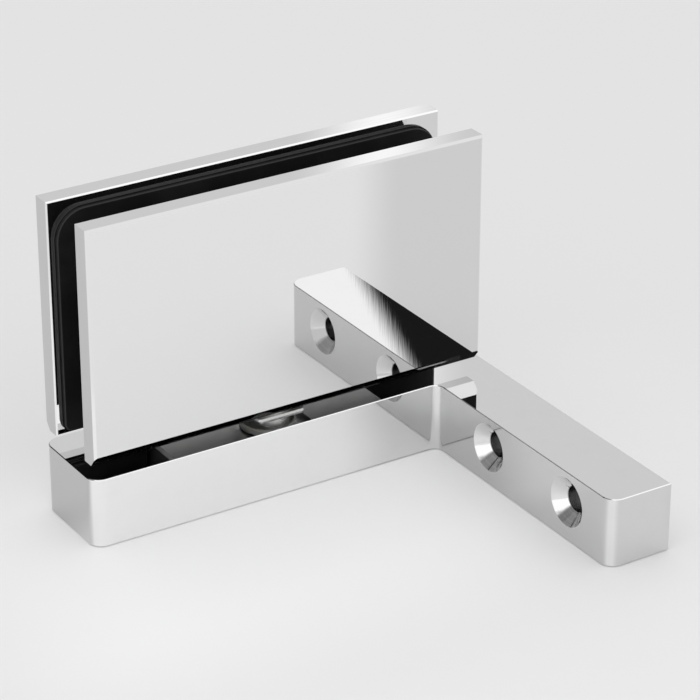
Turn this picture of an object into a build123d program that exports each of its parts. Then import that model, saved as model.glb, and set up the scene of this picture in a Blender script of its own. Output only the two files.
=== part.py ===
from build123d import *
from math import radians, tan
import os

# Glass door hinge for a frameless door: a clamp that grips the glass turns
# on a pivot pin that stands in the arm of an angled wall bracket.
# Millimetres, +Z up. The origin is on the pivot axis at the bracket's base,
# +X runs along the arm to the wall, and the wall leg runs towards -Y.

# Bracket
arm_height = 15.0
arm_width = 21.0
arm_free_end = 45.7
wall_face_x = 49.3
leg_thickness = 14.5
leg_end_y = 70.3
corner_radius = 3.0
inner_corner_radius = 2.0
base_edge_break = 0.3
top_edge_break = 0.15

# Wall screws
screw_hole_radius = 2.75
screw_sink_radius = 5.2
screw_sink_angle = 90.0
screw_spacing = 27.0
screw_first_y = 29.0
screw_hole_height = 8.4

# Clamp
clamp_length = 90.0
clamp_height = 50.3
running_gap = 2.8
plate_thickness = 4.7
glass_gap = 11.6
plate_edge_break = 0.5
plate_inner_break = 0.3
bevel_depth = 1.8
bevel_height = 2.3

# Gaskets
gasket_thickness = 1.5
gasket_side_inset = 1.1
gasket_top_inset = 1.8
gasket_foot_inset = 0.9
gasket_top_radius = 6.5
gasket_foot_radius = 2.0
gasket_notch_gap = 0.5
gasket_edge_break = 0.35

# Pivot body
body_length = 50.0
body_height = 27.0
body_recess = 1.5
body_lift = 0.4
body_side_clearance = 0.02
body_edge_break = 0.6
pocket_length = 15.0
pocket_width = 12.0
pocket_depth = 1.2
pocket_corner_radius = 1.5

# Pivot pin
pin_foot_radius = 5.4
pin_socket_floor = 2.0
pin_flat_depth = 0.5
pin_flat_margin = 1.0
pin_collar_length = 11.0
pin_collar_width = 11.8
pin_collar_height = 0.5
pin_collar_corner = 0.8
pin_collar_slope = 15.0
pin_lower_radius = 4.5
pin_cam_radius = 4.45
pin_cam_flat_depth = 0.5
pin_upper_radius = 3.5
pin_cam_height = 8.0
pin_end_above_ring = 1.8
pin_end_break = 0.6
ring_groove_depth = 0.4
press_clearance = 0.01
running_clearance = 0.03

# Bearings
washer_thickness = 1.4
washer_radius = 5.85
washer_edge_break = 0.2
thrust_clearance = 0.05
bush_wall = 1.0
lower_bush_height = 5.0
upper_bush_height = 5.0
ring_thickness = 1.0
ring_rim = 1.6
ring_gap_width = 2.0
ring_clearance = 0.1

# Detents
plunger_radius = 3.95
plunger_clearance = 0.05
roller_radius = 2.0
roller_height = 6.0
roller_clearance = 0.03
roller_edge_break = 0.25
detent_travel = 0.5
spring_clearance = 0.1
spring_length = 2.5
disc_radius = 3.8
disc_hole_radius = 2.0
disc_thickness = 0.6
disc_rim = 0.3
adjuster_length = 4.5
adjuster_inset = 0.5
adjuster_edge_break = 0.4
adjuster_socket_width = 4.0
adjuster_socket_depth = 2.5

# Fasteners
clamp_screw_radius = 2.5
clamp_screw_head_radius = 4.7
clamp_screw_head_angle = 90.0
clamp_screw_tip_gap = 0.1
clamp_screw_tip_break = 0.3
clamp_screw_end_inset = 7.0
clamp_screw_height = 21.5
clamp_screw_bite = 2.4
clamp_screw_socket_width = 3.0
clamp_screw_socket_depth = 2.2
lock_screw_radius = 3.0
lock_screw_inset = 0.8
lock_screw_edge_break = 0.4
lock_screw_height = 8.0
lock_screw_socket_width = 3.0
lock_screw_socket_depth = 2.5

# Levels and planes that the pieces share
clamp_floor = arm_height + running_gap
clamp_top = clamp_floor + clamp_height
half_length = clamp_length / 2
inner_face = glass_gap / 2
outer_face = inner_face + plate_thickness
leg_face_x = wall_face_x - leg_thickness
half_arm = arm_width / 2
body_floor = clamp_floor + body_lift
body_top = body_floor + body_height
body_half_width = inner_face + body_recess - body_side_clearance
pocket_ceiling = body_floor + pocket_depth
shoulder_level = pocket_ceiling - washer_thickness - thrust_clearance
bore_radius = pin_lower_radius + running_clearance + bush_wall
lower_bush_top = pocket_ceiling + lower_bush_height
cam_top = lower_bush_top + pin_cam_height
upper_bush_top = cam_top + upper_bush_height
detent_level = (lower_bush_top + cam_top) / 2
ring_floor = upper_bush_top + ring_clearance
pin_top = ring_floor + ring_thickness + pin_end_above_ring
plunger_bore_radius = plunger_radius + plunger_clearance
roller_centre = pin_cam_radius + plunger_clearance + roller_radius
adjuster_front = body_length / 2 - adjuster_inset - adjuster_length
spring_front = adjuster_front - spring_length
plunger_back = spring_front - spring_clearance - detent_travel
plunger_length = plunger_back - roller_centre
clamp_screw_spacing = body_length - 2 * clamp_screw_end_inset
clamp_screw_level = body_floor + clamp_screw_height
clamp_screw_slope = clamp_screw_head_angle / 2
clamp_screw_head = (clamp_screw_head_radius - clamp_screw_radius) / tan(radians(clamp_screw_slope))
lock_flat_y = pin_foot_radius - pin_flat_depth
lock_flat_top = lock_screw_height + lock_screw_radius + pin_flat_margin

os.makedirs("parts", exist_ok=True)


def save(piece, name):
    """Label a finished piece and write it to its own file."""
    piece.part.label = name
    export_step(piece.part, f"parts/{name}.step")


# Wall bracket: the arm and the wall leg are one solid bar
with BuildPart() as wall_bracket:
    with BuildSketch(Plane.XY):
        with BuildLine():
            Polyline(
                (-arm_free_end, -half_arm),
                (leg_face_x, -half_arm),
                (leg_face_x, -leg_end_y),
                (wall_face_x, -leg_end_y),
                (wall_face_x, half_arm),
                (-arm_free_end, half_arm),
                close=True,
            )
        make_face()
    extrude(amount=arm_height)
    uprights = wall_bracket.edges().filter_by(Axis.Z)
    fillet(uprights.group_by(Axis.X)[0], radius=corner_radius)
    uprights = wall_bracket.edges().filter_by(Axis.Z)
    leg_front = uprights.sort_by_distance((leg_face_x, -leg_end_y, arm_height / 2))[0]
    fillet(leg_front, radius=corner_radius)
    uprights = wall_bracket.edges().filter_by(Axis.Z)
    inner_corner = uprights.sort_by_distance((leg_face_x, -half_arm, arm_height / 2))[0]
    fillet(inner_corner, radius=inner_corner_radius)
    chamfer(wall_bracket.faces().sort_by(Axis.Z)[0].edges(), length=base_edge_break)
    chamfer(wall_bracket.faces().sort_by(Axis.Z)[-1].edges(), length=top_edge_break)
    # Countersunk holes through the leg, sunk on the side that faces the arm
    hole_face = Plane(origin=(leg_face_x, 0, screw_hole_height), x_dir=(0, -1, 0), z_dir=(-1, 0, 0))
    with Locations(hole_face):
        with Locations((screw_first_y, 0), (screw_first_y + screw_spacing, 0)):
            CounterSinkHole(
                radius=screw_hole_radius,
                counter_sink_radius=screw_sink_radius,
                counter_sink_angle=screw_sink_angle,
                depth=leg_thickness,
            )
    # Socket for the pin's foot, open at the top only
    with BuildSketch(Plane.XY.offset(pin_socket_floor)):
        Circle(pin_foot_radius + press_clearance)
    extrude(amount=arm_height, mode=Mode.SUBTRACT)
    # Tapped hole for the lock screw, from the arm's back
    with BuildSketch(Plane.XZ.offset(-half_arm)):
        with Locations((0, lock_screw_height)):
            Circle(lock_screw_radius + press_clearance)
    extrude(amount=half_arm - lock_flat_y + pin_flat_depth, mode=Mode.SUBTRACT)
save(wall_bracket, "wall_bracket")


# Pivot pin: foot and collar, lower journal, cam with four flats, upper journal
with BuildPart() as pivot_pin:
    ring_seat_radius = pin_upper_radius - ring_groove_depth
    ring_top = ring_floor + ring_thickness
    with BuildSketch(Plane.XZ):
        with BuildLine():
            Polyline(
                (0, pin_socket_floor),
                (pin_foot_radius, pin_socket_floor),
                (pin_foot_radius, shoulder_level),
                (pin_lower_radius, shoulder_level),
                (pin_lower_radius, lower_bush_top),
                (pin_cam_radius, lower_bush_top),
                (pin_cam_radius, cam_top - plunger_clearance),
                (pin_upper_radius, cam_top - plunger_clearance),
                (pin_upper_radius, ring_floor),
                (ring_seat_radius, ring_floor),
                (ring_seat_radius, ring_top),
                (pin_upper_radius, ring_top),
                (pin_upper_radius, pin_top - pin_end_break),
                (pin_upper_radius - pin_end_break, pin_top),
                (0, pin_top),
                close=True,
            )
        make_face()
    revolve(axis=Axis.Z)
    # Square collar that rests on the arm round the foot
    with BuildSketch(Plane.XY.offset(arm_height)):
        RectangleRounded(pin_collar_length, pin_collar_width, pin_collar_corner)
    extrude(amount=pin_collar_height, taper=pin_collar_slope)
    # Four flats a quarter turn apart hold the door closed and open
    with BuildSketch(Plane.XY.offset(lower_bush_top)):
        Circle(pin_lower_radius)
        flat_to_flat = 2 * (pin_cam_radius - pin_cam_flat_depth)
        Rectangle(flat_to_flat, flat_to_flat, mode=Mode.SUBTRACT)
    extrude(amount=cam_top - lower_bush_top - plunger_clearance, mode=Mode.SUBTRACT)
    # Flat for the lock screw
    with BuildSketch(Plane.XY.offset(pin_socket_floor)):
        with Locations((0, lock_flat_y + pin_flat_depth)):
            Rectangle(2 * pin_foot_radius, 2 * pin_flat_depth)
    extrude(amount=lock_flat_top - pin_socket_floor, mode=Mode.SUBTRACT)
save(pivot_pin, "pivot_pin")


# Lock screw: hex-socket grub screw that holds the pin in the arm
with BuildPart() as pin_lock_screw:
    lock_screw_back = half_arm - lock_screw_inset
    with BuildSketch(Plane.XZ.offset(-lock_screw_back)):
        with Locations((0, lock_screw_height)):
            Circle(lock_screw_radius)
    extrude(amount=lock_screw_back - lock_flat_y)
    outer_edge = pin_lock_screw.edges().filter_by(GeomType.CIRCLE).sort_by(Axis.Y)[-1]
    chamfer(outer_edge, length=lock_screw_edge_break)
    with BuildSketch(Plane.XZ.offset(-lock_screw_back)):
        with Locations((0, lock_screw_height)):
            RegularPolygon(lock_screw_socket_width / 2, 6, major_radius=False)
    extrude(amount=lock_screw_socket_depth, mode=Mode.SUBTRACT)
save(pin_lock_screw, "pin_lock_screw")


# Thrust washer between the pin's shoulder and the pivot body
with BuildPart() as thrust_washer:
    with BuildSketch(Plane.XY.offset(shoulder_level)):
        Circle(washer_radius)
        Circle(pin_lower_radius + running_clearance, mode=Mode.SUBTRACT)
    extrude(amount=washer_thickness)
    chamfer(thrust_washer.edges().group_by(Axis.Z)[-1], length=washer_edge_break)
save(thrust_washer, "thrust_washer")


# Bushes: the lower one carries the pin's wide journal, the upper one its neck
with BuildPart() as lower_bush:
    with BuildSketch(Plane.XY.offset(pocket_ceiling)):
        Circle(bore_radius)
        Circle(pin_lower_radius + running_clearance, mode=Mode.SUBTRACT)
    extrude(amount=lower_bush_height)
save(lower_bush, "lower_bush")

with BuildPart() as upper_bush:
    with BuildSketch(Plane.XY.offset(cam_top)):
        Circle(bore_radius)
        Circle(pin_upper_radius + running_clearance, mode=Mode.SUBTRACT)
    extrude(amount=upper_bush_height)
save(upper_bush, "upper_bush")


# Retaining ring: open spring ring in the pin's groove
with BuildPart() as retaining_ring:
    with BuildSketch(Plane.XY.offset(ring_floor)):
        Circle(pin_upper_radius - ring_groove_depth + ring_rim)
        Circle(pin_upper_radius - ring_groove_depth + press_clearance, mode=Mode.SUBTRACT)
        with Locations((0, pin_upper_radius + ring_rim)):
            Rectangle(ring_gap_width, 2 * (ring_rim + pin_upper_radius), mode=Mode.SUBTRACT)
    extrude(amount=ring_thickness)
save(retaining_ring, "retaining_ring")


# Pivot body: the block between the plates that turns on the pin
with BuildPart() as pivot_body:
    with BuildSketch(Plane.XY.offset(body_floor)):
        Rectangle(body_length, 2 * body_half_width)
    extrude(amount=body_height)
    chamfer(pivot_body.edges().filter_by(Axis.Y), length=body_edge_break)
    # Pocket under the body, round the pin
    with BuildSketch(Plane.XY.offset(body_floor)):
        RectangleRounded(pocket_length, pocket_width, pocket_corner_radius)
    extrude(amount=pocket_depth, mode=Mode.SUBTRACT)
    # Bearing bore from the pocket to the top
    with BuildSketch(Plane.XY.offset(body_floor)):
        Circle(bore_radius)
    extrude(amount=body_height, mode=Mode.SUBTRACT)
    # Detent bore right through the length
    with BuildSketch(Plane.YZ.offset(-body_length / 2)):
        with Locations((0, detent_level)):
            Circle(plunger_bore_radius)
    extrude(amount=body_length, mode=Mode.SUBTRACT)
    # Clearance holes for the clamp screws
    with BuildSketch(Plane.XZ.offset(-body_half_width)):
        with Locations((0, clamp_screw_level)):
            with GridLocations(clamp_screw_spacing, 0, 2, 1):
                Circle(clamp_screw_radius + plunger_clearance)
    extrude(amount=2 * body_half_width, mode=Mode.SUBTRACT)
save(pivot_body, "pivot_body")


# Clamp plates: bevelled foot, broken edges, and a shallow milled seat inside
# that locates the pivot body. Front faces -Y, back faces +Y.
for name, direction in (("front_plate", -1), ("back_plate", 1)):
    with BuildPart() as plate:
        with BuildSketch(Plane.YZ.offset(-half_length)):
            with BuildLine():
                Polyline(
                    (direction * inner_face, clamp_floor + plate_inner_break),
                    (direction * (inner_face + plate_inner_break), clamp_floor),
                    (direction * (outer_face - bevel_depth), clamp_floor),
                    (direction * outer_face, clamp_floor + bevel_height),
                    (direction * outer_face, clamp_top - plate_edge_break),
                    (direction * (outer_face - plate_edge_break), clamp_top),
                    (direction * (inner_face + plate_inner_break), clamp_top),
                    (direction * inner_face, clamp_top - plate_inner_break),
                    close=True,
                )
            make_face()
        extrude(amount=clamp_length)
        uprights = plate.edges().filter_by(Axis.Z).sort_by(Axis.Y, reverse=direction < 0)
        chamfer(uprights[-2:], length=plate_edge_break)
        uprights = plate.edges().filter_by(Axis.Z).sort_by(Axis.Y, reverse=direction < 0)
        chamfer(uprights[:2], length=plate_inner_break)
        with BuildSketch(Plane.XZ.offset(-direction * inner_face)):
            seat_height = body_top - clamp_floor + body_side_clearance
            with Locations((0, clamp_floor + seat_height / 2)):
                Rectangle(body_length + 2 * body_side_clearance, seat_height)
        extrude(amount=-direction * body_recess, mode=Mode.SUBTRACT)
        with BuildSketch(Plane.XZ.offset(-direction * inner_face)):
            with Locations((0, clamp_screw_level)):
                with GridLocations(clamp_screw_spacing, 0, 2, 1):
                    Circle(clamp_screw_radius + (plunger_clearance if direction > 0 else 0))
        if direction < 0:
            # Blind tapped holes: the polished front face stays whole
            extrude(amount=body_recess + clamp_screw_bite, mode=Mode.SUBTRACT)
        else:
            extrude(amount=-plate_thickness, mode=Mode.SUBTRACT)
            # Countersinks in the outer face, out of sight from the front
            with BuildSketch(Plane.XZ.offset(-outer_face)):
                with Locations((0, clamp_screw_level)):
                    with GridLocations(clamp_screw_spacing, 0, 2, 1):
                        Circle(clamp_screw_head_radius + plunger_clearance)
            extrude(amount=clamp_screw_head, taper=clamp_screw_slope, mode=Mode.SUBTRACT)
    save(plate, name)


# Gaskets: a rounded pad on each plate with a notch round the pivot body
for name, direction in (("front_gasket", -1), ("back_gasket", 1)):
    with BuildPart() as gasket:
        pad_floor = clamp_floor + gasket_foot_inset
        pad_top = clamp_top - gasket_top_inset
        notch_half = body_length / 2 + gasket_notch_gap
        notch_top = body_top + gasket_notch_gap
        pad_half = half_length - gasket_side_inset
        with BuildSketch(Plane.XZ.offset(-direction * inner_face)) as pad:
            with BuildLine():
                Polyline(
                    (-pad_half, pad_floor),
                    (-notch_half, pad_floor),
                    (-notch_half, notch_top),
                    (notch_half, notch_top),
                    (notch_half, pad_floor),
                    (pad_half, pad_floor),
                    (pad_half, pad_top),
                    (-pad_half, pad_top),
                    close=True,
                )
            make_face()
            fillet(pad.vertices().group_by(Axis.Y)[-1], radius=gasket_top_radius)
            feet = pad.vertices().group_by(Axis.Y)[0].sort_by(Axis.X)
            fillet([feet[0], feet[-1]], radius=gasket_foot_radius)
        extrude(amount=direction * gasket_thickness)
        chamfer(gasket.faces().sort_by(Axis.Y, reverse=direction > 0)[0].edges(), length=gasket_edge_break)
    save(gasket, name)


# Detents: on each side a roller, its plunger, a spring and an adjusting screw
for side, sign in (("left", -1), ("right", 1)):
    with BuildPart() as roller:
        with BuildSketch(Plane.XY.offset(detent_level - roller_height / 2)):
            with Locations((sign * roller_centre, 0)):
                Circle(roller_radius)
        extrude(amount=roller_height)
        chamfer(roller.edges().filter_by(GeomType.CIRCLE), length=roller_edge_break)
    save(roller, f"{side}_roller")

    with BuildPart() as plunger:
        with BuildSketch(Plane.YZ.offset(sign * roller_centre)):
            with Locations((0, detent_level)):
                Circle(plunger_radius)
        extrude(amount=sign * plunger_length)
        # Half-round seat across the nose for the roller
        with BuildSketch(Plane.XY.offset(detent_level - roller_height / 2 - roller_clearance)):
            with Locations((sign * roller_centre, 0)):
                Circle(roller_radius + roller_clearance)
        extrude(amount=roller_height + 2 * roller_clearance, mode=Mode.SUBTRACT)
    save(plunger, f"{side}_plunger")

    # A pair of disc springs, rim to rim: one pleated profile turned about the bore
    with BuildPart() as spring:
        spring_middle = (spring_front + adjuster_front) / 2
        cone_height = spring_length / 2 - disc_thickness
        with BuildSketch(Plane(origin=(0, 0, detent_level), x_dir=(sign, 0, 0), z_dir=(0, 1, 0))):
            with BuildLine():
                Polyline(
                    (spring_front, disc_hole_radius),
                    (spring_front, disc_hole_radius + disc_rim),
                    (spring_front + cone_height, disc_radius),
                    (adjuster_front - cone_height, disc_radius),
                    (adjuster_front, disc_hole_radius + disc_rim),
                    (adjuster_front, disc_hole_radius),
                    (adjuster_front - disc_thickness, disc_hole_radius),
                    (spring_middle, disc_radius - disc_rim),
                    (spring_front + disc_thickness, disc_hole_radius),
                    close=True,
                )
            make_face()
        revolve(axis=Axis((0, 0, detent_level), (1, 0, 0)))
    save(spring, f"{side}_spring")

    with BuildPart() as adjuster:
        with BuildSketch(Plane.YZ.offset(sign * adjuster_front)):
            with Locations((0, detent_level)):
                Circle(plunger_bore_radius)
        extrude(amount=sign * adjuster_length)
        outer_edge = adjuster.edges().filter_by(GeomType.CIRCLE).sort_by(Axis.X)[::sign][-1]
        chamfer(outer_edge, length=adjuster_edge_break)
        with BuildSketch(Plane.YZ.offset(sign * (adjuster_front + adjuster_length))):
            with Locations((0, detent_level)):
                RegularPolygon(adjuster_socket_width / 2, 6, major_radius=False)
        extrude(amount=-sign * adjuster_socket_depth, mode=Mode.SUBTRACT)
    save(adjuster, f"{side}_adjusting_screw")

    # Clamp screw: countersunk hex-socket screw from the back plate to the front
    with BuildPart() as clamp_screw:
        screw_x = sign * clamp_screw_spacing / 2
        screw_tip_y = clamp_screw_tip_gap - (inner_face + body_recess + clamp_screw_bite)
        with BuildSketch(Plane(origin=(screw_x, 0, clamp_screw_level), x_dir=(1, 0, 0), z_dir=(0, 0, 1))):
            with BuildLine():
                Polyline(
                    (0, screw_tip_y),
                    (clamp_screw_radius - clamp_screw_tip_break, screw_tip_y),
                    (clamp_screw_radius, screw_tip_y + clamp_screw_tip_break),
                    (clamp_screw_radius, outer_face - clamp_screw_head),
                    (clamp_screw_head_radius, outer_face),
                    (0, outer_face),
                    close=True,
                )
            make_face()
        revolve(axis=Axis((screw_x, 0, clamp_screw_level), (0, 1, 0)))
        with BuildSketch(Plane.XZ.offset(-outer_face)):
            with Locations((screw_x, clamp_screw_level)):
                RegularPolygon(clamp_screw_socket_width / 2, 6, major_radius=False)
        extrude(amount=clamp_screw_socket_depth, mode=Mode.SUBTRACT)
    save(clamp_screw, f"{side}_clamp_screw")
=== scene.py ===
"""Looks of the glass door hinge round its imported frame, laid out as a Blender add-on."""

import math

import bmesh
import bpy
import numpy as np
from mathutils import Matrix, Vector


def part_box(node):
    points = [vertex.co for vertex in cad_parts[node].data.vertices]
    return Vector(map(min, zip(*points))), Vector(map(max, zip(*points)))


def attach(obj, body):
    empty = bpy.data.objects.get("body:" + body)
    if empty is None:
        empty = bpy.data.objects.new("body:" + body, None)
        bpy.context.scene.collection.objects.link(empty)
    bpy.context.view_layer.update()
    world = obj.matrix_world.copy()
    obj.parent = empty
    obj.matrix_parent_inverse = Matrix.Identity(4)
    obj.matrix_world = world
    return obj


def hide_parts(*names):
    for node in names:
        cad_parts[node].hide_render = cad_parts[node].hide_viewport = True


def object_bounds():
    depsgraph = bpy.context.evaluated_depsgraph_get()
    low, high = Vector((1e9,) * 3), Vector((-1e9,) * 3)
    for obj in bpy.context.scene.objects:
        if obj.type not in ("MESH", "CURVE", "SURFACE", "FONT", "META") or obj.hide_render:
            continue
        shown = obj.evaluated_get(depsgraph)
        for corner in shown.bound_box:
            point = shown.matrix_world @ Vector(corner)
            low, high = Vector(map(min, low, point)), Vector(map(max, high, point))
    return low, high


bl_info = {
    "name": "Glass Door Hinge",
    "version": (1, 0, 0),
    "blender": (4, 5, 0),
    "location": "View3D > Sidebar > Hinge",
    "description": "Dresses the packed frame of a glass door hinge and sets its studio",
    "category": "Object",
}

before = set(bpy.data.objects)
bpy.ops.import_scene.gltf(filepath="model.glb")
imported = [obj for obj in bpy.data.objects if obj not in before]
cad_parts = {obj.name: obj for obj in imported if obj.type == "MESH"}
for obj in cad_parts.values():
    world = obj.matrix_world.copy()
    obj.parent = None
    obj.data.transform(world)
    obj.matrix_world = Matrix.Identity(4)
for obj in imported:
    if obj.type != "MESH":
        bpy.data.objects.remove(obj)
cad_low, cad_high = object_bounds()
MM = 0.001

MERGE_DISTANCE = 0.001 * MM
FLAT_ANGLE = math.radians(0.3)
RUBBER_CORNER_ANGLE = math.radians(50.0)
CORNER_STEPS = 10
EDGE_STEPS = 5
MIRROR_ROUGHNESS = 0.008
HAZE_ROUGHNESS = 0.006
SENSOR_WIDTH = 36.0
FLOOR_GAP = 0.02 * MM
BLACK = (0.0, 0.0, 0.0, 1.0)
WHITE = (1.0, 1.0, 1.0, 1.0)


# Settings that a user would change


class HingeStudio(bpy.types.PropertyGroup):
    """Camera, floor and light."""

    azimuth: bpy.props.FloatProperty(
        name="Azimuth", description="Turn of the camera round the part",
        default=math.radians(-32.19), subtype="ANGLE",
    )
    elevation: bpy.props.FloatProperty(
        name="Elevation", description="Height angle of the camera",
        default=math.radians(26.12), subtype="ANGLE",
    )
    distance: bpy.props.FloatProperty(
        name="Distance", description="From the camera to its target", default=0.6185, unit="LENGTH"
    )
    target: bpy.props.FloatVectorProperty(
        name="Target", description="Point that the camera looks at",
        default=(0.01987, 0.0, 0.02233), unit="LENGTH",
    )
    lens: bpy.props.FloatProperty(name="Lens", description="Focal length in millimetres", default=154.4)
    floor_size: bpy.props.FloatProperty(
        name="Floor Size", description="Side of the square floor", default=8.0, unit="LENGTH"
    )
    floor_colour: bpy.props.FloatVectorProperty(
        name="Floor Colour", description="Colour of the floor",
        default=(0.757, 0.757, 0.757), subtype="COLOR",
    )
    # Painted light: how much paler the floor is in front of the part
    floor_painted_light: bpy.props.FloatProperty(
        name="Floor Near", description="Share by which the floor is paler in front of the part", default=1.185
    )
    # Painted reflection: the greys that the metal sees in the floor, apart from its own colour
    floor_left: bpy.props.FloatProperty(
        name="Floor Left", description="Grey that the metal mirrors in front on the left", default=0.84
    )
    floor_right: bpy.props.FloatProperty(
        name="Floor Right", description="Grey that the metal mirrors in front on the right", default=0.68
    )
    floor_lean: bpy.props.FloatProperty(
        name="Floor Lean", description="How far the edge between the greys moves to the right as it comes forward",
        default=0.66,
    )
    floor_foot: bpy.props.FloatProperty(
        name="Floor Foot", description="Share by which the mirrored grey is paler close to the arm", default=0.13
    )
    floor_behind: bpy.props.FloatProperty(
        name="Floor Behind", description="Grey that the metal mirrors behind", default=0.73
    )
    backdrop_level: bpy.props.FloatProperty(
        name="Backdrop Level", description="Brightness of the walls behind the part", default=0.68
    )
    softbox_level: bpy.props.FloatProperty(
        name="Softbox Level", description="Brightness of the softboxes in front and above", default=1.15
    )
    strip_level: bpy.props.FloatProperty(
        name="Strip Level", description="Brightness that the light strip adds to the wall behind", default=0.42
    )
    card_level: bpy.props.FloatProperty(
        name="Card Level", description="Brightness of the dark card beside the camera", default=0.012
    )
    card_azimuth: bpy.props.FloatProperty(
        name="Card Azimuth", description="Plan angle of the dark card's edge, from -Y to +X",
        default=math.radians(32.85), subtype="ANGLE",
    )
    card_lean: bpy.props.FloatProperty(
        name="Card Lean", description="How far the card's edge moves to the right with its height", default=0.62
    )
    card_middle: bpy.props.FloatProperty(
        name="Card Middle", description="Height of the direction at which the edge keeps its angle", default=0.429
    )
    fill_level: bpy.props.FloatProperty(name="Fill Level", description="Plain light on the part", default=0.96)
    camera_level: bpy.props.FloatProperty(
        name="Camera Level", description="Brightness of the world behind the floor's edge", default=0.78
    )
    lamp_place: bpy.props.FloatVectorProperty(
        name="Lamp Place", description="Centre of the softbox overhead", default=(-0.35, -0.25, 1.1), unit="LENGTH"
    )
    lamp_size: bpy.props.FloatProperty(
        name="Lamp Size", description="Width of the softbox overhead", default=0.9, unit="LENGTH"
    )
    lamp_power: bpy.props.FloatProperty(
        name="Lamp Power", description="Power of the softbox overhead in watts", default=1.2
    )


class HingeMetal(bpy.types.PropertyGroup):
    """Finishes of the metals."""

    chrome_colour: bpy.props.FloatVectorProperty(
        name="Chrome", description="Colour of the polished chrome",
        default=(0.865, 0.865, 0.868), subtype="COLOR",
    )
    steel_colour: bpy.props.FloatVectorProperty(
        name="Steel", description="Colour of the turned steel", default=(0.56, 0.56, 0.55), subtype="COLOR"
    )
    # Partly the milled steel's own colour, partly painted shade for the narrow gap between the body and the arm
    milled_and_shade_colour: bpy.props.FloatVectorProperty(
        name="Milled Steel", description="Colour of the milled body",
        default=(0.34, 0.34, 0.335), subtype="COLOR",
    )
    hard_colour: bpy.props.FloatVectorProperty(
        name="Hardened Steel", description="Colour of the ground rollers and plungers",
        default=(0.42, 0.41, 0.39), subtype="COLOR",
    )
    spring_colour: bpy.props.FloatVectorProperty(
        name="Spring Steel", description="Colour of the springs and the ring",
        default=(0.20, 0.20, 0.21), subtype="COLOR",
    )
    screw_colour: bpy.props.FloatVectorProperty(
        name="Screw Steel", description="Colour of the screws", default=(0.62, 0.62, 0.61), subtype="COLOR"
    )
    bronze_colour: bpy.props.FloatVectorProperty(
        name="Bronze", description="Colour of the bushes", default=(0.58, 0.36, 0.17), subtype="COLOR"
    )
    # Painted shade: the share of colour left on the faces to the left and the leg's end, and on the haze and grain
    # marks
    marks_and_painted_shade_share: bpy.props.FloatProperty(
        name="Left Share", description="Share of the colour that is left on the faces to the left and the leg's end",
        default=0.76,
    )
    # Painted reflection: the share of colour left where the metal leans up and to the left, for the dark card it
    # mirrors
    painted_reflection_share: bpy.props.FloatProperty(
        name="Lean Share", description="Share of the colour that is left where the metal leans up and to the left",
        default=0.14,
    )
    # Partly the duller drilled metal, partly painted shade inside the holes
    bore_and_shade_colour: bpy.props.FloatVectorProperty(
        name="Bore", description="Colour inside the screw holes", default=(0.5, 0.5, 0.5), subtype="COLOR"
    )
    streak_angle: bpy.props.FloatProperty(
        name="Streak Angle", description="Plan angle of the polishing streaks, from -Y to +X",
        default=math.radians(32.2), subtype="ANGLE",
    )
    streak_share: bpy.props.FloatProperty(
        name="Streak Share", description="Height of the streaks as a share of the ripples", default=0.12
    )
    ripple_height: bpy.props.FloatProperty(
        name="Ripple Height", description="Height of the long waves that polishing leaves",
        default=0.000006, unit="LENGTH",
    )
    corner_angle: bpy.props.FloatProperty(
        name="Corner Angle", description="Edges that turn more than this stay sharp",
        default=math.radians(32.0), subtype="ANGLE",
    )


class HingeHoles(bpy.types.PropertyGroup):
    """Places and sizes of the wall screw holes, for their finish."""

    first: bpy.props.FloatProperty(
        name="First", description="From the pivot axis to the first hole, along -Y", default=0.029, unit="LENGTH"
    )
    spacing: bpy.props.FloatProperty(
        name="Spacing", description="From the first hole to the second", default=0.027, unit="LENGTH"
    )
    height: bpy.props.FloatProperty(
        name="Height", description="Height of the holes' axes", default=0.0084, unit="LENGTH"
    )
    bore_radius: bpy.props.FloatProperty(
        name="Bore Radius", description="Radius of the drilled bore", default=0.00275, unit="LENGTH"
    )
    sink_radius: bpy.props.FloatProperty(
        name="Sink Radius", description="Radius of the countersink", default=0.0052, unit="LENGTH"
    )


class HingeGasket(bpy.types.PropertyGroup):
    """Sizes of the glass gaskets, and the colours of rubber and nylon."""

    top_radius: bpy.props.FloatProperty(
        name="Top Radius", description="Rounding of the upper corners", default=0.0065, unit="LENGTH"
    )
    foot_radius: bpy.props.FloatProperty(
        name="Foot Radius", description="Rounding of the lower corners", default=0.002, unit="LENGTH"
    )
    notch_gap: bpy.props.FloatProperty(
        name="Notch Gap", description="Air round the pivot body", default=0.0005, unit="LENGTH"
    )
    notch_round: bpy.props.FloatProperty(
        name="Notch Round", description="Rounding of the notch's corners", default=0.0007, unit="LENGTH"
    )
    lip_height: bpy.props.FloatProperty(
        name="Lip Height", description="Height of the thin lip round the pad's foot",
        default=0.00055, unit="LENGTH",
    )
    lip_step: bpy.props.FloatProperty(
        name="Lip Step", description="Width of the lip's ledge", default=0.0003, unit="LENGTH"
    )
    lip_round: bpy.props.FloatProperty(
        name="Lip Round", description="Rounding of the lip's edge", default=0.00014, unit="LENGTH"
    )
    edge_round: bpy.props.FloatProperty(
        name="Edge Round", description="Rounding of the edge towards the glass", default=0.00025, unit="LENGTH"
    )
    colour: bpy.props.FloatVectorProperty(
        name="Colour", description="Colour of the rubber", default=(0.0135, 0.0135, 0.0135), subtype="COLOR"
    )
    # Painted highlight: how much paler the rounded edges are
    painted_highlight_share: bpy.props.FloatProperty(
        name="Worn Share", description="How much paler the rubber is along its edges", default=3.2
    )
    nylon_colour: bpy.props.FloatVectorProperty(
        name="Nylon", description="Colour of the thrust washer", default=(0.62, 0.61, 0.57), subtype="COLOR"
    )


# Shader maths


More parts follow.
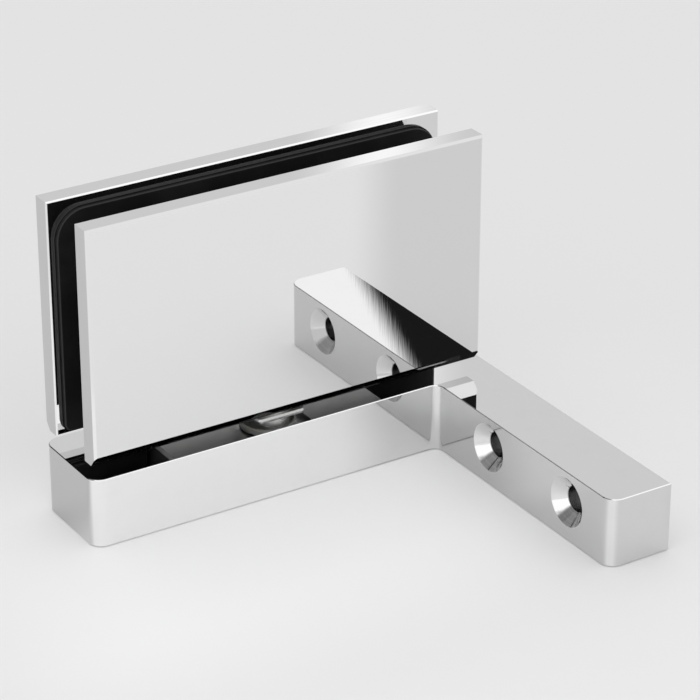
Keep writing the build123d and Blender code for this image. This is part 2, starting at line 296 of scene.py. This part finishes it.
class Value:
    """A number in a shader. A sum, product or power with it adds a Math node."""

    def __init__(self, shade, socket):
        self.shade = shade
        self.socket = socket

    def maths(self, operation, first, second=0.0):
        return self.shade.value("ShaderNodeMath", {"operation": operation}, {0: first, 1: second})

    def __add__(self, other):
        return self.maths("ADD", self, other)

    def __radd__(self, other):
        return self.maths("ADD", other, self)

    def __sub__(self, other):
        return self.maths("SUBTRACT", self, other)

    def __rsub__(self, other):
        return self.maths("SUBTRACT", other, self)

    def __mul__(self, other):
        return self.maths("MULTIPLY", self, other)

    def __rmul__(self, other):
        return self.maths("MULTIPLY", other, self)

    def __pow__(self, other):
        return self.maths("POWER", self, other)

    def __abs__(self):
        return self.maths("ABSOLUTE", self)

    def most(self, other):
        """The larger of two numbers."""
        return self.maths("MAXIMUM", self, other)

    def least(self, other):
        """The smaller of two numbers."""
        return self.maths("MINIMUM", self, other)


class Shade:
    """The nodes of one material or world."""

    def __init__(self, tree):
        self.tree = tree
        tree.nodes.clear()

    def node(self, kind, settings=None, inputs=None):
        """Adds a node: its type, its settings, then the values or links of its sockets."""
        made = self.tree.nodes.new(kind)
        for name, setting in (settings or {}).items():
            setattr(made, name, setting)
        for name, given in (inputs or {}).items():
            if isinstance(given, Value):
                given = given.socket
            if isinstance(given, bpy.types.NodeSocket):
                self.tree.links.new(given, made.inputs[name])
            else:
                made.inputs[name].default_value = given
        return made

    def value(self, kind, settings=None, inputs=None, output=0):
        """The output of a new node, ready for sums."""
        return Value(self, self.node(kind, settings, inputs).outputs[output])

    def place(self, stretch=(1.0, 1.0, 1.0), turn=0.0):
        """Object coordinates, turned about Z and then stretched along each axis."""
        place = self.node("ShaderNodeTexCoord").outputs["Object"]
        if turn:
            sockets = {"Vector": place, "Angle": turn}
            place = self.node("ShaderNodeVectorRotate", {"rotation_type": "Z_AXIS"}, sockets).outputs[0]
        sockets = {"Vector": place, "Scale": stretch}
        return self.node("ShaderNodeMapping", {"vector_type": "POINT"}, sockets).outputs[0]

    def parts(self, coordinates):
        """The three parts of a vector: a place with "Object", a direction with "Normal" or "Generated"."""
        start = self.node("ShaderNodeTexCoord").outputs[coordinates]
        split = self.node("ShaderNodeSeparateXYZ", inputs={"Vector": start})
        return [Value(self, socket) for socket in split.outputs]

    def noise(self, place, scale, detail=2.0, roughness=0.5):
        """Soft noise from 0 to 1."""
        sockets = {"Vector": place, "Scale": scale, "Detail": detail, "Roughness": roughness}
        return self.value("ShaderNodeTexNoise", inputs=sockets)

    def rise(self, given, low, high, low_out=0.0, high_out=1.0):
        """A smooth rise from low_out to high_out while the number goes from low to high."""
        sockets = {"Value": given, "From Min": low, "From Max": high, "To Min": low_out, "To Max": high_out}
        return self.value("ShaderNodeMapRange", {"interpolation_type": "SMOOTHSTEP"}, sockets)

    def hill(self, given, foot, top, far_top, far_foot):
        """0 up to foot, 1 from top to far_top, and 0 again from far_foot."""
        return self.rise(given, foot, top) * self.rise(given, far_foot, far_top)

    def against(self, share):
        """1 on faces whose normal points almost straight against the axis that the share belongs to, else 0."""
        return self.rise(share, -0.8, -0.98)

    def blend(self, factor, first, second):
        """A colour between two colours."""
        sockets = {"Factor": factor, 6: first, 7: second}
        return self.node("ShaderNodeMix", {"data_type": "RGBA"}, sockets).outputs[2]

    def tint(self, factor, colour, low, high):
        """A colour made darker or lighter by a factor from 0 to 1."""
        return self.blend(factor, shaded(colour, low), shaded(colour, high))

    def bump(self, height, distance, strength=1.0):
        """A normal from a height that is given in shares of distance."""
        sockets = {"Height": height, "Distance": distance, "Strength": strength}
        return self.node("ShaderNodeBump", inputs=sockets).outputs[0]

    def surface(self, **sockets):
        """A Principled surface on the output; a socket's name has _ for its spaces."""
        named = {name.replace("_", " "): given for name, given in sockets.items()}
        shader = self.node("ShaderNodeBsdfPrincipled", inputs=named)
        self.node("ShaderNodeOutputMaterial", inputs={"Surface": shader.outputs[0]})


def shaded(colour, share):
    """A colour with four parts, times a share."""
    return (colour[0] * share, colour[1] * share, colour[2] * share, 1.0)


# Materials


def material(name, finish):
    """The material of that name, made by its finish the first time."""
    found = bpy.data.materials.get(name)
    if found is None:
        found = bpy.data.materials.new(name)
        found.use_nodes = True
        finish(Shade(found.node_tree))
    return found


def plating_marks(shade):
    """The long waves that polishing leaves, and the faint haze that wiping leaves."""
    ripple = shade.noise(shade.place(), 26.0, 1.0)
    haze = shade.noise(shade.place(), 240.0, 4.0, 0.6)
    return ripple, shade.rise(haze, 0.45, 0.75)


def polished_chrome(shade):
    """Mirror plating with fine streaks on top, turned countersinks and drilled bores, whose dark colour is partly
    duller drilled metal and partly painted shade.

    The faces to the left and the leg's end are a little darker, a painted shade, and the metal that leans up and to
    the left carries a painted dark reflection: the edge of the bracket's top and the lower part of each countersink.
    """
    metal = bpy.context.scene.hinge_metal
    holes = bpy.context.scene.hinge_holes
    ripple, haze = plating_marks(shade)
    _, north, height = shade.parts("Object")
    across, through, upward = shade.parts("Normal")

    # Screw holes: distance from the nearer hole's axis, then its bore and countersink
    first_hole = north + holes.first
    second_hole = first_hole + holes.spacing
    off_axis = ((first_hole ** 2).least(second_hole ** 2) + (height - holes.height) ** 2) ** 0.5
    bore = shade.rise(off_axis, holes.bore_radius * 1.05, holes.bore_radius * 1.02)
    sink = shade.rise(off_axis, holes.sink_radius, holes.sink_radius * 0.97) * (1.0 - bore)
    cutter = shade.value("ShaderNodeTexNoise", {"noise_dimensions": "1D"}, {"W": off_axis * 5200.0, "Scale": 1.0})
    drill = shade.noise(shade.place((9000.0, 500.0, 500.0)), 1.0, 3.0)

    # Polishing streaks on the top, all one way
    streak = shade.noise(shade.place((2600.0, 60.0, 60.0), -metal.streak_angle), 1.0, 2.0)
    top = shade.rise(upward, 0.9, 0.99)

    # Painted shade: the faces to the left and the leg's end are darkened in colour, with the faint haze of wiping
    painted_leg_end_shade = shade.against(through) * shade.rise(north, cad_low[1] + 3.3 * MM, cad_low[1] + 1.3 * MM)
    # Painted dark reflection of the card where the metal leans up and to the left
    painted_card_reflection = shade.rise(across, -0.45, -0.6) * shade.hill(upward, 0.5, 0.64, 0.8, 0.92)
    marks_and_painted_shade = (0.06 * haze + shade.against(across) + 0.8 * painted_leg_end_shade).least(1.0)
    plating = shade.tint(marks_and_painted_shade, metal.chrome_colour, 1.0, metal.marks_and_painted_shade_share)
    # The bore's colour is partly duller drilled metal and partly painted shade inside the hole
    drilled_and_shaded = shade.blend(bore, plating, shaded(metal.bore_and_shade_colour, 1.0))
    dark = shaded(metal.chrome_colour, metal.painted_reflection_share)
    relief = ripple + metal.streak_share * streak * top + 0.8 * cutter * sink + drill * bore
    shade.surface(
        Base_Color=shade.blend(painted_card_reflection * (0.75 + 0.25 * cutter), drilled_and_shaded, dark),
        Metallic=1.0,
        Roughness=MIRROR_ROUGHNESS + HAZE_ROUGHNESS * haze + 0.05 * sink + (0.12 + 0.1 * drill) * bore,
        Normal=shade.bump(relief, metal.ripple_height),
    )


def plate_chrome(shade):
    """Mirror plating on the broad faces and a fine grain along the cut edges.

    The faces to the left are a little darker, a painted shade, and so is the broken edge along the front plate's
    top, where painted shade dulls its highlight.
    """
    metal = bpy.context.scene.hinge_metal
    ripple, haze = plating_marks(shade)
    across, through, upward = shade.parts("Normal")
    north = shade.parts("Object")[1]

    # Grain of the cut: upright on the ends and lengthways on the top and foot
    cut = 1.0 - shade.rise(abs(through), 0.55, 0.8)
    end_grain = shade.noise(shade.place((3000.0, 3000.0, 50.0)), 1.0, 3.0, 0.6)
    top_grain = shade.noise(shade.place((50.0, 3000.0, 3000.0)), 1.0, 3.0, 0.6)
    line = cut * (end_grain * abs(across) + top_grain * abs(upward))

    # Painted shade on the front plate's broken top edge and on the faces to the left, with the real grain of the cut
    front_plate = shade.rise(north, -4.0 * MM, -7.0 * MM)
    painted_edge_shade = shade.hill(upward, 0.45, 0.6, 0.8, 0.92) * front_plate
    marks_and_painted_shade = (0.2 * line + shade.against(across) + painted_edge_shade).least(1.0)
    shade.surface(
        Base_Color=shade.tint(marks_and_painted_shade, metal.chrome_colour, 1.0, metal.marks_and_painted_shade_share),
        Metallic=1.0,
        Roughness=MIRROR_ROUGHNESS + HAZE_ROUGHNESS * haze + 0.1 * line,
        Normal=shade.bump(ripple + 0.1 * line, metal.ripple_height),
    )


def turned_steel(shade):
    """Steel with the fine rings of the lathe."""
    metal = bpy.context.scene.hinge_metal
    rings = shade.noise(shade.place((4.0, 4.0, 5200.0)), 1.0, 3.0, 0.6)
    stain = shade.noise(shade.place(), 160.0, 4.0)
    shade.surface(
        Base_Color=shade.tint(stain, metal.steel_colour, 0.86, 1.06),
        Metallic=1.0,
        Roughness=0.2 + 0.18 * rings,
        Normal=shade.bump(rings, 0.000012),
    )


def milled_metal(shade):
    """Milled body: crossed arcs of the cutter and a soft stain, in a dark colour that is partly painted shade for
    the narrow gap it sits in.
    """
    metal = bpy.context.scene.hinge_metal
    arcs = shade.value(
        "ShaderNodeTexWave",
        {"wave_type": "RINGS", "rings_direction": "Z"},
        {"Vector": shade.place(), "Scale": 420.0, "Distortion": 1.2, "Detail": 2.0},
    )
    grain = shade.noise(shade.place((300.0, 2600.0, 2600.0)), 1.0, 3.0)
    stain = shade.noise(shade.place(), 90.0, 4.0)
    shade.surface(
        Base_Color=shade.tint(stain, metal.milled_and_shade_colour, 0.8, 1.2),
        Metallic=1.0,
        Roughness=0.24 + 0.12 * grain + 0.05 * arcs,
        Normal=shade.bump(0.5 * arcs + 0.5 * grain, 0.00001),
    )


def ground_steel(shade):
    """Hardened steel, ground fine."""
    metal = bpy.context.scene.hinge_metal
    rings = shade.noise(shade.place((6000.0, 300.0, 300.0)), 1.0, 3.0)
    temper = shade.noise(shade.place(), 220.0, 3.0)
    shade.surface(
        Base_Color=shade.tint(temper, metal.hard_colour, 0.85, 1.1),
        Metallic=1.0,
        Roughness=0.12 + 0.1 * rings,
        Normal=shade.bump(rings, 0.000006),
    )


def spring_steel(shade):
    """Dark oiled spring steel with a fine scale."""
    metal = bpy.context.scene.hinge_metal
    scale = shade.noise(shade.place(), 900.0, 4.0, 0.65)
    shade.surface(
        Base_Color=shade.tint(scale, metal.spring_colour, 0.7, 1.25),
        Metallic=1.0,
        Roughness=0.26 + 0.2 * scale,
        Normal=shade.bump(scale, 0.00001),
    )


def screw_steel(shade):
    """Plated screw steel with faint upset grain."""
    metal = bpy.context.scene.hinge_metal
    grain = shade.noise(shade.place((1500.0, 1500.0, 1500.0)), 1.0, 4.0, 0.6)
    stain = shade.noise(shade.place(), 260.0, 3.0)
    shade.surface(
        Base_Color=shade.tint(stain, metal.screw_colour, 0.88, 1.06),
        Metallic=1.0,
        Roughness=0.18 + 0.14 * grain,
        Normal=shade.bump(grain, 0.000008),
    )


def bearing_bronze(shade):
    """Sintered bronze: fine open pores that hold the oil."""
    metal = bpy.context.scene.hinge_metal
    pores = shade.noise(shade.place(), 4200.0, 2.0)
    open_pores = shade.rise(pores, 0.58, 0.7)
    shade.surface(
        Base_Color=shade.tint(open_pores, metal.bronze_colour, 1.0, 0.45),
        Metallic=1.0,
        Roughness=0.34 + 0.25 * open_pores,
        Normal=shade.bump(1.0 - open_pores, 0.00002),
    )


def nylon(shade):
    """Natural nylon, slightly uneven and satin."""
    gasket = bpy.context.scene.hinge_gasket
    cloud = shade.noise(shade.place(), 350.0, 3.0)
    shade.surface(
        Base_Color=shade.tint(cloud, gasket.nylon_colour, 0.92, 1.04),
        Roughness=0.38 + 0.1 * cloud,
        Normal=shade.bump(cloud, 0.00001),
        Subsurface_Weight=0.1,
        Subsurface_Scale=0.0006,
    )


def black_rubber(shade):
    """Moulded black rubber: a fine eroded grain, a little bloom and paler rounded edges, a painted highlight."""
    gasket = bpy.context.scene.hinge_gasket
    grain = shade.noise(shade.place(), 5200.0, 3.0, 0.6)
    bloom = shade.rise(shade.noise(shade.place(), 70.0, 4.0, 0.6), 0.4, 0.75)
    # Painted highlight: the rounded edges are paler in colour
    painted_edge_highlight = shade.hill(abs(shade.parts("Normal")[1]), 0.1, 0.35, 0.85, 0.99)
    shade.surface(
        Base_Color=shade.tint((0.3 * bloom + painted_edge_highlight).least(1.0), gasket.colour, 1.0, gasket.painted_highlight_share),
        Roughness=0.34 + 0.12 * bloom + 0.08 * grain,
        Normal=shade.bump(grain, 0.000014),
        Specular_IOR_Level=0.06,
    )


# Shapes


def mesh_object(name, points, faces):
    """An object at the origin from an array of points and a list of faces."""
    mesh = bpy.data.meshes.new(name)
    mesh.from_pydata([], [], [])
    mesh.from_pydata(points.tolist(), [], faces)
    mesh.update()
    made = bpy.data.objects.new(name, mesh)
    bpy.context.collection.objects.link(made)
    return made


def ring_faces(rows, columns):
    """Quads of a grid that closes round its columns. Row r and column c share point r * columns + c."""
    row, column = np.meshgrid(np.arange(rows - 1), np.arange(columns), indexing="ij")
    after = (column + 1) % columns
    here, next_row = row * columns, (row + 1) * columns
    corners = (here + column, here + after, next_row + after, next_row + column)
    return np.stack(corners, axis=-1).reshape(-1, 4).tolist()


def corner_normals(mesh, angle):
    """A normal for every face corner that keeps broad faces flat and rounds smooth.

    It is the mean of the normals of the faces round the corner's vertex that turn less than the angle from the
    corner's own face, each weighted by the square of its area.
    """
    normals = np.empty(len(mesh.polygons) * 3)
    areas = np.empty(len(mesh.polygons))
    mesh.polygons.foreach_get("normal", normals)
    mesh.polygons.foreach_get("area", areas)
    normals = normals.reshape(-1, 3)
    corner_vertex = np.array([corner.vertex_index for corner in mesh.loops])
    corner_face = np.repeat(np.arange(len(mesh.polygons)), [face.loop_total for face in mesh.polygons])
    round_vertex = {}
    for vertex, face in zip(corner_vertex, corner_face):
        round_vertex.setdefault(vertex, []).append(face)
    given = np.empty((len(corner_vertex), 3))
    for corner, (vertex, face) in enumerate(zip(corner_vertex, corner_face)):
        around = np.array(round_vertex[vertex])
        around = around[normals[around] @ normals[face] > math.cos(angle)]
        given[corner] = areas[around] ** 2 @ normals[around] if len(around) else normals[face]
    return given / np.linalg.norm(given, axis=1, keepdims=True)


def finish_shape(made, angle):
    """Merges doubles and flat neighbours, turns the faces outwards and shades rounds smooth and flats flat."""
    work = bmesh.new()
    work.from_mesh(made.data)
    bmesh.ops.remove_doubles(work, verts=work.verts, dist=MERGE_DISTANCE)
    bmesh.ops.dissolve_limit(work, angle_limit=FLAT_ANGLE, verts=work.verts, edges=work.edges)
    bmesh.ops.recalc_face_normals(work, faces=work.faces)
    work.to_mesh(made.data)
    work.free()
    made.data.shade_smooth()
    made.data.normals_split_custom_set(corner_normals(made.data, angle).tolist())


def dress(made, body, finish, node):
    """Puts a finished piece on its body, in place of its CAD node."""
    made.data.materials.clear()
    made.data.materials.append(material("hinge_" + finish.__name__, finish))
    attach(made, body)
    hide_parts(node)


def smooth_copy(node, body, finish):
    """A CAD node's own mesh, merged and shaded so that its rounds mirror without facets."""
    made = bpy.data.objects.new(node + "_finished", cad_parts[node].data.copy())
    bpy.context.collection.objects.link(made)
    finish_shape(made, bpy.context.scene.hinge_metal.corner_angle)
    dress(made, body, finish, node)


def rounded_outline(corners, radii):
    """Points and outward directions along a closed outline that runs anticlockwise.

    A corner c between unit directions d (in) and e (out) has its arc's centre at c + r * (e - d), because the
    corners are square. A point on the arc is the centre plus r * s * n, where n turns from the outward normal of
    d to that of e and s is 1 on an outer corner and -1 on an inner one.
    """
    corners = np.asarray(corners, float)
    radii = np.asarray(radii, float)[:, None, None]
    before = corners - np.roll(corners, 1, axis=0)
    before /= np.linalg.norm(before, axis=1, keepdims=True)
    after = np.roll(before, -1, axis=0)
    side = np.sign(before[:, 0] * after[:, 1] - before[:, 1] * after[:, 0])[:, None, None]
    centre = corners[:, None, :] + radii * (after - before)[:, None, :]
    normal_before = np.stack([before[:, 1], -before[:, 0]], axis=1)[:, None, :]
    normal_after = np.stack([after[:, 1], -after[:, 0]], axis=1)[:, None, :]
    turn = np.linspace(0.0, np.pi / 2, CORNER_STEPS)[None, :, None]
    normal = normal_before * np.cos(turn) + normal_after * np.sin(turn)
    points = centre + radii * side * normal
    return points.reshape(-1, 2), normal.reshape(-1, 2)


def rounded_edge(start, top, radius):
    """Pairs (d, h) round an edge that starts at d = start, ends at height top and has a radius r.

    They lie on a quarter circle: d = start + r * (1 - cos a) and h = top - r * (1 - sin a).
    """
    bend = np.linspace(0.0, np.pi / 2, EDGE_STEPS)
    return np.stack([start + radius * (1 - np.cos(bend)), top - radius * (1 - np.sin(bend))], axis=1)


def gasket_pad(name, low, high, glass_side, notch_half, notch_top, settings):
    """A flat pad with a thin lip round its foot and a rounded edge.

    Each ring of the surface is the outline moved inwards by d at height h above the plate. The pairs (d, h) run up
    the lip, round its edge, over its ledge, and up and round the pad's own edge. One flat face closes the pad, and
    the back is the outline itself.
    """
    half = (high[0] - low[0]) / 2
    thickness = high[1] - low[1]
    plate_y, glass_y = (low[1], high[1]) if glass_side > 0 else (high[1], low[1])
    corners = [
        (-half, low[2]), (-notch_half, low[2]), (-notch_half, notch_top), (notch_half, notch_top),
        (notch_half, low[2]), (half, low[2]), (half, high[2]), (-half, high[2]),
    ]
    radii = [settings.foot_radius] + [settings.notch_round] * 4 + [settings.foot_radius] + [settings.top_radius] * 2
    outline, outward = rounded_outline(corners, radii)
    profile = np.concatenate([
        [(0.0, 0.0)],
        rounded_edge(0.0, settings.lip_height, settings.lip_round),
        [(settings.lip_step, settings.lip_height)],
        rounded_edge(settings.lip_step, thickness, settings.edge_round),
    ])
    inset = outline[None] - profile[:, :1, None] * outward[None]
    depth = plate_y + np.sign(glass_y - plate_y) * profile[:, 1]
    points = np.empty((len(profile), len(outline), 3))
    points[..., 0] = inset[..., 0] + (low[0] + high[0]) / 2
    points[..., 1] = depth[:, None]
    points[..., 2] = inset[..., 1]
    count = len(outline)
    faces = ring_faces(len(profile), count)
    faces.append(list(range(count)))
    faces.append(list(range((len(profile) - 1) * count, len(profile) * count)))
    return mesh_object(name, points.reshape(-1, 3), faces)


# Operators


class HINGE_OT_studio(bpy.types.Operator):
    """Sets the camera, the floor and the soft light."""

    bl_idname = "hinge.studio"
    bl_label = "Set the Studio"

    def execute(self, context):
        studio = context.scene.hinge_studio
        self.camera(context, studio)
        self.floor(context, studio)
        self.light(context, studio)
        context.scene.view_settings.view_transform = "Standard"
        return {"FINISHED"}

    def camera(self, context, studio):
        """A long lens that looks from azimuth and elevation at the target."""
        level = math.cos(studio.elevation)
        east = math.sin(studio.azimuth) * level
        south = math.cos(studio.azimuth) * level
        back = Vector((east, -south, math.sin(studio.elevation)))
        data = bpy.data.cameras.new("camera")
        data.lens = studio.lens
        data.sensor_width = SENSOR_WIDTH
        data.clip_start = 0.01
        camera = bpy.data.objects.new("camera", data)
        camera.location = Vector(studio.target) + back * studio.distance
        camera.rotation_euler = back.to_track_quat("Z", "Y").to_euler()
        context.collection.objects.link(camera)
        context.scene.camera = camera

    def floor(self, context, studio):
        """A plain square floor, a hair below the part."""
        half = studio.floor_size / 2
        level = cad_low[2] - FLOOR_GAP
        points = np.array([(-half, -half, level), (half, -half, level), (half, half, level), (-half, half, level)])
        floor = mesh_object("floor", points, [(0, 1, 2, 3)])
        floor.data.materials.append(material("hinge_floor", pale_floor))

    def light(self, context, studio):
        """The world lights the part plainly and shows the metal a studio of walls, softboxes and a dark card."""
        world = bpy.data.worlds.new("studio")
        world.use_nodes = True
        context.scene.world = world
        studio_world(Shade(world.node_tree), studio)
        data = bpy.data.lights.new("overhead softbox", "AREA")
        data.shape = "DISK"
        data.size = studio.lamp_size
        data.energy = studio.lamp_power
        lamp = bpy.data.objects.new("overhead softbox", data)
        lamp.location = studio.lamp_place
        lamp.rotation_euler = Vector(studio.lamp_place).to_track_quat("Z", "Y").to_euler()
        lamp.visible_glossy = False
        context.collection.objects.link(lamp)


def pale_floor(shade):
    """Matt pale board. The metal mirrors it in greys of its own, a painted reflection: left, right, close to the arm
    and behind.
    """
    studio = bpy.context.scene.hinge_studio
    fibre = shade.noise(shade.place(), 900.0, 3.0)
    east, north, _ = shade.parts("Object")

    # Seen from the camera: a painted pool of light, paler in a wide round patch in front of the part and close to
    # the arm
    wide = shade.rise(east ** 2 + (north + 0.07) ** 2, 0.02, 0.0)
    close = shade.rise(abs(north + 0.02), 0.06, 0.02) * shade.rise(abs(east + 0.01), 0.09, 0.04)
    painted_light = 0.4 * wide + 0.6 * close
    seen = shade.tint(painted_light, studio.floor_colour, 1.0, studio.floor_painted_light)

    # Seen in the metal: a painted reflection in greys of the floor's own
    along_edge = east + studio.floor_lean * north
    sideways = shade.rise(along_edge, 0.002, 0.018, studio.floor_left, studio.floor_right)
    behind = shade.rise(north, -0.008, 0.006)
    foot = shade.rise(north, -0.046, -0.034)
    grey = sideways * (1.0 + studio.floor_foot * foot) * (1.0 - behind) + behind * studio.floor_behind
    mirrored = shade.blend(grey, BLACK, WHITE)
    glossy = shade.node("ShaderNodeLightPath").outputs["Is Glossy Ray"]
    shade.surface(
        Base_Color=shade.blend(glossy, seen, mirrored),
        Roughness=0.85 + 0.1 * fibre,
        Normal=shade.bump(fibre, 0.00001),
        Specular_IOR_Level=0.1,
    )


def studio_world(shade, studio):
    """A wall all round, softboxes in front and above, and dark cards right of the camera, behind and overhead.

    Every part is a soft step on the ray's direction: its height for the boxes above, and the sine of its plan
    angle from the card's edge for the card.
    """
    east, north, up = shade.parts("Generated")
    turn = studio.card_azimuth
    front = shade.rise(north, 0.05, -0.25)
    back = 1.0 - front

    # Lit parts: the walls, the softbox above them at the back, and an upright strip of light
    wall = shade.rise(front, 0.0, 1.0, studio.backdrop_level, studio.softbox_level)
    high = shade.rise(up, 0.62, 0.72)
    strip = shade.rise(abs(north * math.sin(turn) - east * math.cos(turn)), 0.03, 0.0)
    lit = wall + high * (studio.softbox_level - studio.backdrop_level) * back
    lit = lit + strip * back * (1.0 - high) * studio.strip_level

    # Dark cards: beside the camera, overhead, and behind on the left
    past_edge = east * math.cos(turn) + north * math.sin(turn) - studio.card_lean * (up - studio.card_middle)
    card = shade.hill(past_edge, -0.005, 0.004, 0.3, 0.5) * shade.hill(up, 0.2, 0.3, 0.62, 0.68) * front
    ceiling = shade.rise(up, 0.79, 0.82) * shade.rise(north, 0.02, 0.1)
    left_card = shade.rise(east, -0.2, -0.3) * shade.rise(north, 0.4, 0.5) * shade.rise(up, 0.3, 0.4)
    dark = card.most(ceiling).most(left_card)
    seen = lit * (1.0 - dark) + dark * studio.card_level

    # The metal sees the studio, the camera a plain wall and all else a plain light
    path = shade.node("ShaderNodeLightPath").outputs
    glossy = Value(shade, path["Is Glossy Ray"])
    camera = Value(shade, path["Is Camera Ray"])
    plain = (1.0 - glossy.most(camera)) * studio.fill_level
    strength = glossy * seen + camera * studio.camera_level + plain
    background = shade.node("ShaderNodeBackground", inputs={"Color": WHITE, "Strength": strength})
    shade.node("ShaderNodeOutputWorld", inputs={"Surface": background.outputs[0]})


class HINGE_OT_bracket(bpy.types.Operator):
    """Finishes the wall bracket as one polished bar."""

    bl_idname = "hinge.bracket"
    bl_label = "Finish the Wall Bracket"

    def execute(self, context):
        smooth_copy("wall_bracket", "bracket", polished_chrome)
        return {"FINISHED"}


class HINGE_OT_plates(bpy.types.Operator):
    """Finishes the two clamp plates."""

    bl_idname = "hinge.plates"
    bl_label = "Finish the Clamp Plates"

    def execute(self, context):
        for node in ("front_plate", "back_plate"):
            smooth_copy(node, "clamp", plate_chrome)
        return {"FINISHED"}


class HINGE_OT_gaskets(bpy.types.Operator):
    """Moulds the two rubber gaskets."""

    bl_idname = "hinge.gaskets"
    bl_label = "Mould the Gaskets"

    def execute(self, context):
        settings = context.scene.hinge_gasket
        body_low, body_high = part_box("pivot_body")
        notch_half = (body_high[0] - body_low[0]) / 2 + settings.notch_gap
        notch_top = body_high[2] + settings.notch_gap
        for side, glass_side in (("front", 1), ("back", -1)):
            node = side + "_gasket"
            low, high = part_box(node)
            made = gasket_pad(node + "_moulded", low, high, glass_side, notch_half, notch_top, settings)
            finish_shape(made, RUBBER_CORNER_ANGLE)
            dress(made, "clamp", black_rubber, node)
        return {"FINISHED"}


class HINGE_OT_pivot(bpy.types.Operator):
    """Finishes the pin, its screw, washer, ring, bushes and body."""

    bl_idname = "hinge.pivot"
    bl_label = "Finish the Pivot"

    def execute(self, context):
        smooth_copy("pivot_pin", "bracket", turned_steel)
        smooth_copy("pin_lock_screw", "bracket", screw_steel)
        smooth_copy("thrust_washer", "bracket", nylon)
        smooth_copy("retaining_ring", "bracket", spring_steel)
        smooth_copy("lower_bush", "clamp", bearing_bronze)
        smooth_copy("upper_bush", "clamp", bearing_bronze)
        smooth_copy("pivot_body", "clamp", milled_metal)
        return {"FINISHED"}


class HINGE_OT_detents(bpy.types.Operator):
    """Finishes the rollers, plungers, springs and adjusting screws."""

    bl_idname = "hinge.detents"
    bl_label = "Finish the Detents"

    def execute(self, context):
        for side in ("left", "right"):
            smooth_copy(side + "_roller", side + "_detent", ground_steel)
            smooth_copy(side + "_plunger", side + "_detent", ground_steel)
            smooth_copy(side + "_spring", "clamp", spring_steel)
            smooth_copy(side + "_adjusting_screw", "clamp", screw_steel)
        return {"FINISHED"}


class HINGE_OT_screws(bpy.types.Operator):
    """Finishes the two clamp screws."""

    bl_idname = "hinge.screws"
    bl_label = "Finish the Clamp Screws"

    def execute(self, context):
        for side in ("left", "right"):
            smooth_copy(side + "_clamp_screw", "clamp", screw_steel)
        return {"FINISHED"}


OPERATORS = (
    HINGE_OT_studio,
    HINGE_OT_bracket,
    HINGE_OT_plates,
    HINGE_OT_gaskets,
    HINGE_OT_pivot,
    HINGE_OT_detents,
    HINGE_OT_screws,
)


class HINGE_PT_panel(bpy.types.Panel):
    """Settings and steps of the hinge."""

    bl_label = "Glass Door Hinge"
    bl_space_type = "VIEW_3D"
    bl_region_type = "UI"
    bl_category = "Hinge"

    def draw(self, context):
        for key, group in GROUPS:
            box = self.layout.box()
            for name in group.__annotations__:
                box.prop(getattr(context.scene, key), name)
        for operator in OPERATORS:
            self.layout.operator(operator.bl_idname)


GROUPS = (
    ("hinge_studio", HingeStudio),
    ("hinge_metal", HingeMetal),
    ("hinge_holes", HingeHoles),
    ("hinge_gasket", HingeGasket),
)
CLASSES = tuple(group for _, group in GROUPS) + OPERATORS + (HINGE_PT_panel,)


def register():
    for made in CLASSES:
        bpy.utils.register_class(made)
    for name, group in GROUPS:
        setattr(bpy.types.Scene, name, bpy.props.PointerProperty(type=group))


def unregister():
    for name, _ in GROUPS:
        delattr(bpy.types.Scene, name)
    for made in reversed(CLASSES):
        bpy.utils.unregister_class(made)


def main():
    """Makes the whole part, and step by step."""
    register()
    bpy.ops.hinge.studio()
    bpy.ops.hinge.bracket()
    bpy.ops.hinge.plates()
    bpy.ops.hinge.gaskets()
    bpy.ops.hinge.pivot()
    bpy.ops.hinge.detents()
    bpy.ops.hinge.screws()


if __name__ == "__main__":
    main()
